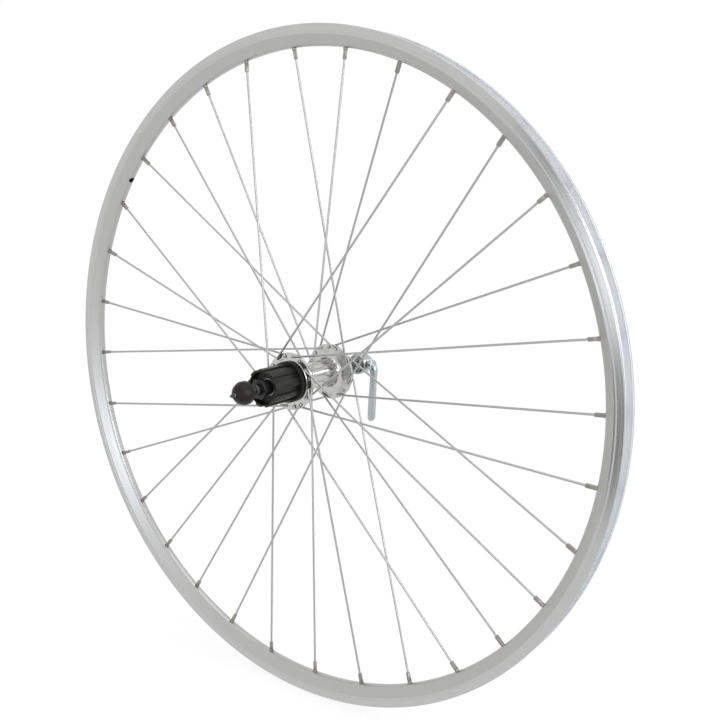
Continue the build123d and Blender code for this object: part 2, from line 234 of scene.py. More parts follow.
def peg(radius: float, length: float, centre: Vector, axis: Vector, sides: int = 24) -> bpy.types.Object:
    """Adds a round peg, mostly as a cutter.

    Args:
        radius: Radius in metres.
        length: Length along its axis in metres.
        centre: Middle of the peg.
        axis: Direction that the peg points.
        sides: Faces round it.

    Returns:
        The peg with its place in its mesh.
    """
    deselect()
    turn = axis.to_track_quat("Z", "Y").to_euler()
    bpy.ops.mesh.primitive_cylinder_add(
        vertices=sides, radius=radius, depth=length, location=centre, rotation=turn
    )
    return named(bpy.context.object, "peg")


def block(name: str, half: Sequence[float], centre: Place) -> bpy.types.Object:
    """Adds a box.

    Args:
        name: Name of the box.
        half: Half its size along each axis.
        centre: Middle of the box.

    Returns:
        The box with its place in its mesh.
    """
    deselect()
    bpy.ops.mesh.primitive_cube_add(size=2, location=centre, scale=half)
    return named(bpy.context.object, name)


def joined(name: str, pieces: Sequence[bpy.types.Object]) -> bpy.types.Object:
    """Joins pieces into one object.

    Args:
        name: Name of the joined piece.
        pieces: The pieces, of which the first is kept.

    Returns:
        The joined piece.
    """
    take(pieces[0])
    for piece in pieces:
        piece.select_set(True)
    bpy.ops.object.join()
    return named(bpy.context.object, name)


def copied(piece: bpy.types.Object, place: Matrix) -> bpy.types.Object:
    """Copies a piece with a mesh of its own.

    Args:
        piece: The modelled piece.
        place: Where the copy goes, from the piece's own place.

    Returns:
        The copy, with its place in its mesh.
    """
    copy = piece.copy()
    copy.data = piece.data.copy()
    copy.data.transform(place)
    bpy.context.collection.objects.link(copy)
    return copy


def discard(piece: bpy.types.Object) -> None:
    """Deletes a piece that has served as a pattern or a cutter."""
    bpy.data.objects.remove(piece, do_unlink=True)


def modified(piece: bpy.types.Object, kind: str, **settings: object) -> None:
    """Puts a modifier on a piece and applies it.

    Args:
        piece: The piece to change.
        kind: Blender's name of the modifier.
        settings: The modifier's properties.
    """
    take(piece)
    bpy.ops.object.modifier_add(type=kind)
    modifier = piece.modifiers[-1]
    for key, value in settings.items():
        setattr(modifier, key, value)
    bpy.ops.object.modifier_apply(modifier=modifier.name)


def cut(piece: bpy.types.Object, cutters: Sequence[bpy.types.Object]) -> None:
    """Cuts shapes out of a piece and deletes them.

    Args:
        piece: The piece to cut.
        cutters: The shapes, which mustn't touch each other.
    """
    tool = joined("cutter", cutters)
    modified(piece, "BOOLEAN", operation="DIFFERENCE", solver="EXACT", object=tool)
    discard(tool)


def eased(piece: bpy.types.Object, width: float, steps: int = 2, angle: float = 40) -> None:
    """Breaks the edges of a piece, by a width in metres, that are sharper than an angle in degrees."""
    limit = math.radians(angle)
    modified(piece, "BEVEL", width=width, segments=steps, limit_method="ANGLE", angle_limit=limit)


def smoothed(piece: bpy.types.Object, angle: float = 32) -> None:
    """Shades a piece smooth apart from edges sharper than an angle in degrees."""
    take(piece)
    bpy.ops.object.shade_smooth_by_angle(angle=math.radians(angle))


def evened(piece: bpy.types.Object) -> None:
    """Lets the large faces of a drilled piece rule its shading."""
    modified(piece, "WEIGHTED_NORMAL", keep_sharp=True)


def raised(piece: bpy.types.Object, chosen: Callable[[bpy.types.MeshPolygon], bool], scale: float) -> None:
    """Extrudes the chosen faces of a round piece away from the axle.

    Args:
        piece: The round piece.
        chosen: Tells which faces rise.
        scale: New radius of those faces over their old one.
    """
    with editing(piece, "FACE"):
        bpy.ops.mesh.select_all(action="DESELECT")
    for face in piece.data.polygons:
        face.select = chosen(face)
    bpy.ops.object.mode_set(mode="EDIT")
    bpy.ops.mesh.extrude_region_move()
    bpy.ops.transform.resize(value=(scale, 1, scale), center_override=(0, 0, 0))
    bpy.ops.object.mode_set(mode="OBJECT")


def turn_share(face: bpy.types.MeshPolygon, pitch: float) -> float:
    """Gives how far round its pitch a face sits, in degrees."""
    return math.degrees(math.atan2(face.center.z, face.center.x)) % pitch


class Bench:
    """Lays out the nodes of one material or of the world."""

    def __init__(self, owner: bpy.types.Material | bpy.types.World) -> None:
        """Opens the nodes of a new material or world.

        Args:
            owner: The material or world.
        """
        owner.use_nodes = True
        self.owner = owner
        self.tree = owner.node_tree

    def found(self, kind: str) -> bpy.types.Node:
        """Finds the node of a kind that was there from the start."""
        return next(node for node in self.tree.nodes if node.type == kind)

    def node(self, kind: str, **settings: object) -> bpy.types.Node:
        """Adds a node.

        Args:
            kind: Blender's name of the node type.
            settings: Node properties, or socket values where the name is a socket's.

        Returns:
            The new node.
        """
        node = self.tree.nodes.new(kind)
        for key, value in settings.items():
            if hasattr(node, key):
                setattr(node, key, value)
            else:
                node.inputs[key.replace("_", " ")].default_value = value
        return node

    def link(self, source: bpy.types.NodeSocket, target: bpy.types.NodeSocket) -> None:
        """Joins two sockets."""
        self.tree.links.new(source, target)

    def maths(self, operation: str, *values: object) -> bpy.types.NodeSocket:
        """Adds a sum of sockets and numbers.

        Args:
            operation: Blender's name of the operation.
            values: Sockets or numbers in order.

        Returns:
            The result's socket.
        """
        node = self.node("ShaderNodeMath", operation=operation)
        for slot, value in zip(node.inputs, values):
            if isinstance(value, bpy.types.NodeSocket):
                self.link(value, slot)
            else:
                slot.default_value = value
        return node.outputs[0]

    def sight(self, least: float) -> bpy.types.NodeSocket:
        """Tells what is seen, straight or in metal and glass, from what is only lit.

        Args:
            least: The level for rays that only light.

        Returns:
            That level, or 1 for rays of sight.
        """
        path = self.node("ShaderNodeLightPath")
        level: float | bpy.types.NodeSocket = least
        for ray in SIGHT_RAYS:
            level = self.maths("MAXIMUM", path.outputs[ray], level)
        return level


def matte(name: str, level: float, roughness: float) -> Bench:
    """Starts a plain grey material for the studio.

    Args:
        name: Name of the material.
        level: How light the grey is.
        roughness: Its roughness.

    Returns:
        The material's nodes.
    """
    bench = Bench(bpy.data.materials.new(name))
    shader = bench.found("BSDF_PRINCIPLED")
    shader.inputs["Base Color"].default_value = (level, level, level, 1)
    shader.inputs["Roughness"].default_value = roughness
    return bench


@dataclass(frozen=True)
class Metal:
    """A bare, plated or blackened metal with a fine grain.

    Attributes:
        name: Name of the material.
        colour: Main colour.
        fleck: Second colour, mixed in by the grain.
        roughness: Middle roughness.
        spread: How far the grain moves the roughness each way.
        grain: How the marks run.
        marks: Marks per metre across the grain.
        depth: Height of the marks for the bump.
        metallic: How metallic the surface is.
    """

    name: str
    colour: Colour
    fleck: Colour
    roughness: float
    spread: float
    grain: Grain
    marks: float
    depth: float
    metallic: float = 1.0

    def wind(self, bench: Bench, place: bpy.types.NodeSocket, noise: bpy.types.Node) -> None:
        """Leads a noise round the axle, so that its marks are long arcs.

        Args:
            bench: The material being laid out.
            place: The place on the piece.
            noise: The noise.
        """
        axes = bench.node("ShaderNodeSeparateXYZ")
        bench.link(place, axes.inputs[0])
        x, y, z = axes.outputs
        span = bench.maths("ADD", bench.maths("MULTIPLY", x, x), bench.maths("MULTIPLY", z, z))
        radius = bench.maths("MAXIMUM", bench.maths("SQRT", span), MERGE_DISTANCE)
        vector = bench.node("ShaderNodeCombineXYZ")
        bench.link(bench.maths("MULTIPLY", radius, self.marks), vector.inputs[0])
        bench.link(bench.maths("MULTIPLY", y, self.marks), vector.inputs[1])
        for axis, target in ((x, vector.inputs[2]), (z, noise.inputs["W"])):
            bench.link(bench.maths("MULTIPLY", bench.maths("DIVIDE", axis, radius), ARC_CELLS), target)
        bench.link(vector.outputs[0], noise.inputs["Vector"])

    def grain_socket(self, bench: Bench) -> bpy.types.NodeSocket:
        """Adds the grain's noise.

        Args:
            bench: The material being laid out.

        Returns:
            The noise's value.
        """
        place = bench.node("ShaderNodeTexCoord").outputs["Object"]
        noise = bench.node(
            "ShaderNodeTexNoise",
            noise_dimensions="4D", Scale=1.0, Detail=GRAIN_DETAIL, Roughness=GRAIN_ROUGHNESS,
        )
        if self.grain is Grain.ROUND:
            self.wind(bench, place, noise)
        else:
            along = self.marks / DRAWN_STRETCH if self.grain is Grain.ALONG else self.marks
            scale = bench.node("ShaderNodeMapping", Scale=(self.marks, along, self.marks))
            bench.link(place, scale.inputs["Vector"])
            bench.link(scale.outputs[0], noise.inputs["Vector"])
        return noise.outputs[0]

    def material(self) -> bpy.types.Material:
        """Makes the material, or finds it if it is there already.

        Returns:
            The material.
        """
        ready = bpy.data.materials.get(self.name)
        if ready:
            return ready
        bench = Bench(bpy.data.materials.new(self.name))
        shader = bench.found("BSDF_PRINCIPLED")
        value = self.grain_socket(bench)
        mix = bench.node("ShaderNodeMix", data_type="RGBA")
        mix.inputs[MIX_COLOUR].default_value = (*self.colour, 1)
        mix.inputs[MIX_FLECK].default_value = (*self.fleck, 1)
        bench.link(value, mix.inputs[0])
        bench.link(mix.outputs[MIX_RESULT], shader.inputs["Base Color"])
        rough = bench.node("ShaderNodeMapRange", From_Min=GRAIN_RANGE[0], From_Max=GRAIN_RANGE[1])
        rough.inputs["To Min"].default_value = self.roughness - self.spread
        rough.inputs["To Max"].default_value = self.roughness + self.spread
        bench.link(value, rough.inputs["Value"])
        bench.link(rough.outputs[0], shader.inputs["Roughness"])
        bump = bench.node("ShaderNodeBump", Strength=BUMP_STRENGTH, Distance=self.depth)
        bench.link(value, bump.inputs["Height"])
        bench.link(bump.outputs[0], shader.inputs["Normal"])
        shader.inputs["Metallic"].default_value = self.metallic
        return bench.owner


class Finishes:
    """The finishes that the wheel's pieces wear."""

    RIM = Metal("rim_satin", (0.43, 0.43, 0.42), (0.48, 0.48, 0.47), 0.36, 0.05, Grain.ROUND, 900, 0.00001)
    TRACK = Metal(
        "rim_track", (0.47, 0.47, 0.465), (0.54, 0.54, 0.535), 0.25, 0.05, Grain.ROUND, 1300, 0.000003
    )
    # The tyre channel is the rim's own aluminium, drawn lighter, bluer and partly diffuse as a painted
    # reflection of the bright room.
    CHANNEL_PAINTED_REFLECTION = Metal(
        "rim_channel_painted_reflection", (0.64, 0.65, 0.664), (0.72, 0.73, 0.744),
        0.34, 0.04, Grain.ROUND, 1400, 0.000004, 0.3,
    )
    WIRE = Metal(
        "spoke_wire", (0.38, 0.38, 0.375), (0.46, 0.46, 0.455), 0.36, 0.06, Grain.EVEN, 60, 0.00001
    )
    NIPPLE = Metal(
        "nipple_plate", (0.245, 0.229, 0.216), (0.34, 0.324, 0.308), 0.36, 0.08, Grain.EVEN, 300, 0.00001
    )
    HUB = Metal(
        "hub_polish", (0.50, 0.495, 0.48), (0.57, 0.565, 0.55), 0.16, 0.03, Grain.ROUND, 800, 0.00001
    )
    BLACK = Metal(
        "freehub_black", (0.008, 0.0078, 0.0064), (0.036, 0.034, 0.027),
        0.36, 0.1, Grain.ALONG, 1300, 0.00012, 0.6,
    )
    NUT = Metal(
        "nut_satin", (0.016, 0.0145, 0.013), (0.028, 0.0255, 0.023),
        0.4, 0.06, Grain.ROUND, 700, 0.00002, 0.85,
    )
    OXIDE = Metal(
        "dark_oxide", (0.022, 0.022, 0.022), (0.06, 0.06, 0.06), 0.36, 0.08, Grain.ROUND, 900, 0.00003, 0.7
    )
    CAM = Metal("cam_satin", (0.36, 0.39, 0.375), (0.50, 0.53, 0.51), 0.26, 0.08, Grain.ROUND, 600, 0.00002)
    LEVER = Metal(
        "lever_polish", (0.41, 0.453, 0.45), (0.496, 0.54, 0.536), 0.30, 0.06, Grain.EVEN, 120, 0.00002
    )
    STEEL = Metal(
        "plain_steel", (0.34, 0.34, 0.345), (0.45, 0.45, 0.455), 0.34, 0.08, Grain.ROUND, 1500, 0.00003
    )
    DARK = Metal(
        "drawn_dark", (0.07, 0.07, 0.072), (0.13, 0.13, 0.132), 0.4, 0.08, Grain.ROUND, 1500, 0.00004
    )
    SEAL = Metal(
        "seal_black", (0.015, 0.015, 0.016), (0.03, 0.03, 0.03), 0.6, 0.1, Grain.ROUND, 500, 0.00004, 0.0
    )


@dataclass(frozen=True)
class Stretch:
    """Where a springy piece spans between two bodies.

    Attributes:
        far: The body that its far end meets; not used.
        start: Where along the axle it leaves its own body; not used.
        stop: Where along the axle it meets the far body; not used.
    """

    far: Part
    start: float
    stop: float


def painted(
    piece: bpy.types.Object, finishes: Sequence[Metal], choose: Callable[[bpy.types.MeshPolygon], Metal]
) -> None:
    """Gives a piece several finishes.

    Args:
        piece: The modelled piece.
        finishes: The finishes that it wears.
        choose: Tells the finish of a face.
    """
    for finish in finishes:
        piece.data.materials.append(finish.material())
    for face in piece.data.polygons:
        face.material_index = finishes.index(choose(face))


def dressed(
    piece: bpy.types.Object, part: Part, finish: Metal, node: str, stretch: Stretch | None = None
) -> None:
    """Finishes a piece and fixes it to the body that carries it, or leaves a springy piece loose with its
    place in its mesh.

    Args:
        piece: The modelled piece.
        part: The body that it moves with.
        finish: Its finish, kept out where the piece has materials already.
        node: The solids that it stands for.
        stretch: Its span to another body, if it is springy.
    """
    if not piece.data.materials:
        piece.data.materials.append(finish.material())
    if stretch:
        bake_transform(piece)
    else:
        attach(piece, part.value)
    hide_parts(node)
    LOG.info("%s: %d faces on %s", piece.name, len(piece.data.polygons), part.value)


@dataclass(frozen=True)
class Family:
    """Eight spokes that lie the same way.

    Attributes:
        node: The solids that they stand for.
        first: Number of the first spoke.
        drive: Whether they hang on the drive-side flange.
        outward: Side of the flange that they lie over, 1 toward +Y.
        turn: Way that they lean round the axle.
    """

    node: str
    first: int
    drive: bool
    outward: int
    turn: int


FAMILIES = (
    Family("spokes_drive_outside", 3, True, -1, 1),
    Family("spokes_drive_inside", 1, True, 1, -1),
    Family("spokes_left_outside", 2, False, 1, 1),
    Family("spokes_left_inside", 0, False, -1, -1),
)


@dataclass
class Lacing:
    """Where each spoke leaves the hub and meets the rim.

    Attributes:
        count: Spokes in the wheel.
        valve_angle: Angle of the valve hole in degrees.
        cross_angle: Angle between a spoke's two ends about the axle.
        hole_circle: Radius of the spoke holes in the flanges.
        flange_thickness: Thickness of a flange.
        flange_radius: Radius of a flange.
        elbow_gap: Room between a flange and the spoke that lies over it.
        wire_radius: Radius of the wire.
        seat_radius: Radius at which the nipples sit inside the rim.
        drive_y: Middle of the drive-side flange.
        left_y: Middle of the left flange.
    """

    count: int = 32
    valve_angle: float = 143.6
    cross_angle: float = 67.5
    hole_circle: float = 24 * MM
    flange_thickness: float = 3 * MM
    flange_radius: float = 27 * MM
    elbow_gap: float = 0.25 * MM
    wire_radius: float = 1 * MM
    seat_radius: float = 300.4 * MM
    drive_y: float = -21 * MM
    left_y: float = 38 * MM

    def rim_angle(self, index: int) -> float:
        """Gives the angle of a spoke hole in the rim, counted on from the valve hole."""
        return self.valve_angle - 360 / self.count * (index + 0.5)

    def flange_y(self, family: Family) -> float:
        """Gives the middle of the flange that a family hangs on."""
        return self.drive_y if family.drive else self.left_y

    def run(self, index: int, family: Family) -> Run:
        """Follows one spoke.

        Args:
            index: The spoke's number round the rim.
            family: The family that it belongs to.

        Returns:
            Its head, its elbow and its seat in the rim.
        """
        flange = self.flange_y(family)
        half = self.flange_thickness / 2
        hub_angle = self.rim_angle(index) + family.turn * self.cross_angle
        offset = self.hole_circle * math.sin(math.radians(self.cross_angle))
        edge = math.sqrt(self.flange_radius**2 - offset**2) - math.sqrt(self.hole_circle**2 - offset**2)
        rise = max(0.0, family.outward * flange * edge / (self.seat_radius - self.hole_circle))
        over = half + self.elbow_gap + self.wire_radius + rise
        head = around(hub_angle, self.hole_circle, flange - family.outward * half)
        elbow = around(hub_angle, self.hole_circle, flange + family.outward * over)
        return head, elbow, around(self.rim_angle(index), self.seat_radius, 0)

    def runs(self, family: Family) -> list[Run]:
        """Lists head, elbow and seat of each spoke of a family."""
        return [self.run(index, family) for index in range(family.first, self.count, len(FAMILIES))]


@dataclass
class Rim:
    """The hollow double-wall hoop with its brake tracks, tyre channel and holes."""

    lacing: Lacing
    steps: int = 256
    outer_radius: float = 317 * MM
    half_width: float = 9.8 * MM
    track_low: float = 308.4 * MM
    line_radius: float = 310.7 * MM
    line_half_width: float = 0.6 * MM
    line_depth: float = 0.4 * MM
    lip_thickness: float = 1.6 * MM
    lip_hook: float = 0.5 * MM
    hook_height: float = 0.9 * MM
    hook_foot: float = 1.35 * MM
    bead_radius: float = 311 * MM
    well_radius: float = 307.8 * MM
    well_half_width: float = 5 * MM
    bed_radius: float = 298.8 * MM
    bed_half_width: float = 2.8 * MM
    bed_round: float = 6 * MM
    bed_steps: int = 8
    edge_round: float = 0.45 * MM
    edge_steps: int = 3
    wall: float = 1.6 * MM
    chamber_half_width: float = 6.28 * MM
    chamber_steps: int = 2
    nipple_hole: float = 2.3 * MM
    access_hole: float = 4.2 * MM
    valve_hole: float = 3.25 * MM
    valve_sides: int = 32
    drill_margin: float = 2 * MM

    def half_section(self) -> Outline:
        """Draws one half of the section, from the middle of the spoke bed out to the tyre well.

        Returns:
            Points as (radius, place along the axle).
        """
        low = (self.track_low, self.half_width)
        corners = [(self.bed_radius, -self.bed_half_width), (self.bed_radius, self.bed_half_width), low]
        bed = [(self.bed_radius, 0), *rounded(corners, self.bed_round, self.bed_steps, False)[1:]]
        lip = self.half_width - self.lip_thickness
        side = rounded(
            [
                (self.bed_radius, self.bed_half_width),
                low,
                (self.line_radius - self.line_half_width, self.half_width),
                (self.line_radius, self.half_width - self.line_depth),
                (self.line_radius + self.line_half_width, self.half_width),
                (self.outer_radius, self.half_width),
                (self.outer_radius, lip - self.lip_hook),
                (self.outer_radius - self.hook_height, lip - self.lip_hook),
                (self.outer_radius - self.hook_foot, lip),
                (self.bead_radius, lip),
                (self.well_radius, self.well_half_width),
                (self.well_radius, 0),
            ],
            self.edge_round, self.edge_steps, False,
        )
        return bed[:-1] + side[1:]

    def holes(self) -> list[bpy.types.Object]:
        """Makes the pegs that cut the nipple, access and valve holes.

        Returns:
            The pegs.
        """
        pegs = []
        length = 2 * self.wall + self.drill_margin
        for index in range(self.lacing.count):
            out = around(self.lacing.rim_angle(index), 1, 0)
            pegs.append(peg(self.nipple_hole, length, out * (self.bed_radius + self.wall / 2), out))
            pegs.append(peg(self.access_hole, length, out * (self.well_radius - self.wall / 2), out))
        out = around(self.lacing.valve_angle, 1, 0)
        middle = (self.bed_radius + self.well_radius) / 2
        length = self.well_radius - self.bed_radius + 2 * self.drill_margin
        pegs.append(peg(self.valve_hole, length, out * middle, out, self.valve_sides))
        return pegs

    def finish_at(self, face: bpy.types.MeshPolygon) -> Metal:
        """Tells what a face of the hoop wears.

        Args:
            face: The face.

        Returns:
            The finish of the brake track, of the tyre channel with its painted reflection, or of the rest.
        """
        radius = math.hypot(face.center.x, face.center.z)
        side = abs(face.center.y)
        if side > self.half_width - self.line_depth and radius > self.track_low:
            return Finishes.TRACK
        inner = side < self.half_width - self.lip_thickness + self.lip_hook
        if inner and radius > self.well_radius - self.wall / 2:
            return Finishes.CHANNEL_PAINTED_REFLECTION
        return Finishes.RIM

    def build(self) -> None:
        """Turns the hoop with its hollow chamber and cuts its holes."""
        half = self.half_section()
        section = half + [(radius, -y) for radius, y in reversed(half[1:-1])]
        hoop = turned("rim_hoop", section, self.steps)
        roof = self.well_radius - self.wall
        floor = self.bed_radius + self.wall
        wide = self.chamber_half_width
        corners = [(floor, -self.bed_half_width), (floor, self.bed_half_width), (roof, wide), (roof, -wide)]
        chamber = turned("rim_chamber", rounded(corners, self.wall / 2, self.chamber_steps), self.steps)
        with editing(chamber, "FACE"):
            bpy.ops.mesh.flip_normals()
        piece = joined("rim_hoop", [hoop, chamber])
        cut(piece, self.holes())
        smoothed(piece)
        evened(piece)
        painted(piece, (Finishes.RIM, Finishes.TRACK, Finishes.CHANNEL_PAINTED_REFLECTION), self.finish_at)
        dressed(piece, Part.WHEEL, Finishes.RIM, "rim")


@dataclass
class Spokes:
    """Bent wire spokes with pressed heads, and the nipples that hold them in the rim."""

    lacing: Lacing
    sides: int = 14
    bend_radius: float = 2.1 * MM
    bend_steps: int = 7
    smooth_angle: float = 40
    head_radius: float = 1.75 * MM
    head_thickness: float = 1.15 * MM
    head_sides: int = 16
    head_ease: float = 0.4
    ease_steps: int = 3
    nipple_lift: float = 0.65 * MM
    nipple_length: float = 12 * MM
    nipple_radius: float = 2 * MM
    nipple_sides: int = 20
    nipple_ease_angle: float = 50
    flat_count: int = 4
    flat_reach: float = 1.68 * MM
    flat_ease: float = 0.3 * MM
    collar_length: float = 4.4 * MM
    collar_ease: float = 0.15 * MM
    nipple_head: float = 2.65 * MM
    nipple_head_height: float = 2.1 * MM
    nipple_head_ease: float = 0.45

    def wire(self, run: Run) -> bpy.types.Object:
        """Bends one spoke.

        Args:
            run: Its head, elbow and seat.

        Returns:
            The spoke in its place.
        """
        head, elbow, seat = run
        up = (elbow - head).normalized()
        along = (seat - elbow).normalized()
        bend = up.angle(along)
        side = (along - up * along.dot(up)).normalized()
        reach = self.bend_radius * math.tan(bend / 2)
        rise = (elbow - head).length - reach
        length = (seat - elbow).length - reach
        deselect()
        bpy.ops.mesh.primitive_circle_add(
            vertices=self.sides, radius=self.lacing.wire_radius, fill_type="NGON"
        )
        wire = named(bpy.context.object, "spoke")
        with editing(wire, "FACE"):
            extrude((0, 0, rise))
            middle = (self.bend_radius, 0, rise)
            bpy.ops.mesh.spin(steps=self.bend_steps, angle=-bend, center=middle, axis=ALONG)
            extrude((math.sin(bend) * length, 0, math.cos(bend) * length))
            face_out()
        under = Vector((0, 0, -self.head_thickness / 2))
        cap = peg(self.head_radius, self.head_thickness, under, UP, self.head_sides)
        eased(cap, self.head_ease * self.head_thickness, self.ease_steps)
        spoke = joined("spoke", [wire, cap])
        cross = up.cross(side)
        spoke.data.transform(Matrix((side, cross, up)).transposed().to_4x4())
        spoke.data.transform(Matrix.Translation(head))
        return spoke

    def nipple(self) -> bpy.types.Object:
        """Models one nipple along +Z, from its seat at the origin toward the hub.

        Returns:
            The nipple.
        """
        collar = peg(
            self.nipple_radius, self.collar_length, UP * (self.collar_length / 2), UP, self.nipple_sides
        )
        eased(collar, self.collar_ease, steps=1)
        length = self.nipple_length - self.collar_length
        middle = UP * (self.collar_length + length / 2)
        flats = peg(self.nipple_radius, length, middle, UP, self.nipple_sides)
        with editing(flats, "FACE"):
            for number in range(self.flat_count):
                angle = math.radians(360 / self.flat_count * number)
                out = Vector((math.cos(angle), math.sin(angle), 0))
                bpy.ops.mesh.select_all(action="SELECT")
                bpy.ops.mesh.bisect(
                    plane_co=out * self.flat_reach, plane_no=out, use_fill=True, clear_outer=True
                )
        eased(flats, self.flat_ease, angle=self.nipple_ease_angle)
        height = self.nipple_head_height
        head = peg(self.nipple_head, height, UP * (-height / 2), UP, self.nipple_sides)
        eased(head, self.nipple_head_ease * height, self.ease_steps, self.nipple_ease_angle)
        nipple = joined("nipple", [collar, flats, head])
        smoothed(nipple)
        return nipple

    def build_wires(self) -> None:
        """Makes the four families of spokes."""
        step = len(FAMILIES) * FULL_TURN / self.lacing.count
        for family in FAMILIES:
            runs = self.lacing.runs(family)
            pattern = self.wire(runs[0])
            places = [Matrix.Rotation(step * number, 4, "Y") for number in range(1, len(runs))]
            group = joined(family.node + "_wire", [pattern] + [copied(pattern, place) for place in places])
            smoothed(group, self.smooth_angle)
            dressed(group, Part.WHEEL, Finishes.WIRE, family.node)

    def build_nipples(self) -> None:
        """Sets a nipple on the end of every spoke."""
        pattern = self.nipple()
        copies = []
        for family in FAMILIES:
            for _head, elbow, seat in self.lacing.runs(family):
                inward = (elbow - seat).normalized()
                start = seat - inward * self.nipple_lift
                turn = inward.to_track_quat("Z", "Y").to_matrix().to_4x4()
                copies.append(copied(pattern, Matrix.Translation(start) @ turn))
        discard(pattern)
        dressed(joined("nipple_set", copies), Part.WHEEL, Finishes.NIPPLE, "nipples")

    def build(self) -> None:
        """Makes the spokes and their nipples."""
        self.build_wires()
        self.build_nipples()


@dataclass
class Hub:
    """The polished shell with two drilled flanges, and its bearings."""

    lacing: Lacing
    steps: int = 128
    barrel_radius: float = 13 * MM
    bore_radius: float = 11 * MM
    boss_end: float = 56.5 * MM
    edge_round: float = 0.8 * MM
    edge_steps: int = 4
    flare_round: float = 8 * MM
    flare_steps: int = 8
    step_radius: float = 21 * MM
    step_depth: float = 0.35 * MM
    step_run: float = 0.7 * MM
    hole_radius: float = 1.25 * MM
    hole_sides: int = 16
    raceway: float = 7.9 * MM
    axle_radius: float = 5.05 * MM
    running_gap: float = 0.05 * MM
    bearing_width: float = 6 * MM
    ring_round: float = 0.3 * MM
    ring_round_steps: int = 2
    ring_steps: int = 64
    freehub_gap: float = 0.7 * MM
    freehub_floor: float = -51.5 * MM

    def outline(self) -> Outline:
        """Draws the shell's section.

        Returns:
            Points as (radius, place along the axle).
        """
        half = self.lacing.flange_thickness / 2
        rim = self.lacing.flange_radius
        drive = self.lacing.drive_y
        left = self.lacing.left_y
        barrel = self.barrel_radius
        near = rounded(
            [
                (self.bore_radius, drive - half),
                (self.step_radius, drive - half),
                (self.step_radius + self.step_run, drive - half + self.step_depth),
                (rim, drive - half + self.step_depth),
                (rim, drive + half),
            ],
            self.edge_round, self.edge_steps, False,
        )
        middle = rounded(
            [
                (rim, drive + half - self.edge_round),
                (rim, drive + half),
                (barrel, drive + half),
                (barrel, left - half),
                (rim, left - half),
                (rim, left - half + self.edge_round),
            ],
            self.flare_round, self.flare_steps, False,
        )
        far = rounded(
            [
                (rim, left - half + self.edge_round),
                (rim, left + half),
                (barrel, left + half),
                (barrel, self.boss_end),
                (self.bore_radius, self.boss_end),
            ],
            self.edge_round, self.edge_steps, False,
        )
        return near[:-1] + middle + far[1:]

    def holes(self) -> list[bpy.types.Object]:
        """Makes the pegs that drill the flanges.

        Returns:
            The pegs.
        """
        length = DRILL_THROUGH * self.lacing.flange_thickness
        pegs = []
        for family in FAMILIES:
            flange = self.lacing.flange_y(family)
            for head, _elbow, _seat in self.lacing.runs(family):
                middle = Vector((head.x, flange, head.z))
                pegs.append(peg(self.hole_radius, length, middle, ALONG, self.hole_sides))
        return pegs

    def ring(self, name: str, inner: float, outer: float, starts: Sequence[float]) -> bpy.types.Object:
        """Turns the same ring at several places along the axle.

        Args:
            name: Name of the joined rings.
            inner: Inner radius.
            outer: Outer radius.
            starts: Where each ring begins along the axle.

        Returns:
            The rings as one piece.
        """
        rings = []
        for start in starts:
            stop = start + self.bearing_width
            corners = [(inner, start), (outer, start), (outer, stop), (inner, stop)]
            section = rounded(corners, self.ring_round, self.ring_round_steps)
            rings.append(turned(name, section, self.ring_steps))
        piece = joined(name, rings)
        smoothed(piece)
        return piece

    def bearings(self, owner: str, part: Part, starts: Sequence[float]) -> None:
        """Makes the outer and inner rings of one pair of bearings.

        Args:
            owner: First word of the names of the solids that they stand for.
            part: The body that the outer rings sit in.
            starts: Where each bearing begins along the axle.
        """
        outer = self.ring(owner + "_outer_races", self.raceway + self.running_gap, self.bore_radius, starts)
        dressed(outer, part, Finishes.SEAL, owner + "_bearing_outer_rings")
        inner = self.ring(owner + "_inner_races", self.axle_radius, self.raceway, starts)
        dressed(inner, Part.AXLE_SET, Finishes.STEEL, owner + "_bearing_inner_rings")

    def build(self) -> None:
        """Makes the shell and both pairs of bearings."""
        shell = turned("hub_barrel", self.outline(), self.steps)
        cut(shell, self.holes())
        smoothed(shell)
        dressed(shell, Part.WHEEL, Finishes.HUB, "hub_shell")
        face = self.lacing.drive_y - self.lacing.flange_thickness / 2
        self.bearings("hub", Part.WHEEL, [face, self.boss_end - self.bearing_width])
        near = face - self.freehub_gap - self.bearing_width
        self.bearings("freehub", Part.FREEHUB, [self.freehub_floor, near])


